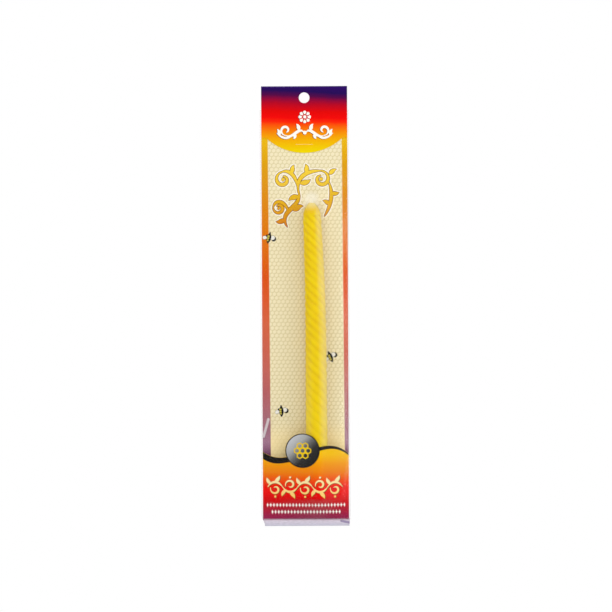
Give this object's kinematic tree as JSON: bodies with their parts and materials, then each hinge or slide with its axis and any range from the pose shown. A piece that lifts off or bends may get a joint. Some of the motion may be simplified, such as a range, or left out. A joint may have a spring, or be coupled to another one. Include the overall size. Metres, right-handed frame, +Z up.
{
  "type": "havdalah candle",
  "caption": "Twisted multi-strand beeswax havdalah candle, loose in a clear hanging bag with a printed pocket card and a stapled header card.",
  "frame": {"origin": "centre of the hang hole, halfway through the folded header card", "axes": "+Z up along the hanging pack, -Y out of its printed front, +X to the right seen from the front"},
  "size_m": [0.0668, 0.0192, 0.3298],
  "materials": {
    "insert_board": "satin",
    "header_board": "satin",
    "staple_wire": "satin",
    "clear_film": "gloss",
    "dipped_wax": "satin",
    "beeswax": "satin",
    "wick_cotton": "matte"
  },
  "bodies": {
    "pack": {"insert_card": "insert_board", "header_card": "header_board", "header_staple": "staple_wire", "bag_front_web": "clear_film", "bag_back_web": "clear_film"},
    "candle": {"dipped_tip": "dipped_wax", "wax_strand_1": "beeswax", "wax_strand_2": "beeswax", "wax_strand_3": "beeswax", "wax_strand_4": "beeswax", "wax_strand_5": "beeswax", "wax_strand_6": "beeswax", "wick_1": "wick_cotton", "wick_2": "wick_cotton", "wick_3": "wick_cotton", "wick_4": "wick_cotton", "wick_5": "wick_cotton", "wick_6": "wick_cotton"}
  },
  "joints": [
    {"name": "candle_slide", "type": "slide", "parent": "pack", "child": "candle", "axis": [-0.0166, 0, 0.9999], "range_m": [0, 0.01]}
  ]
}
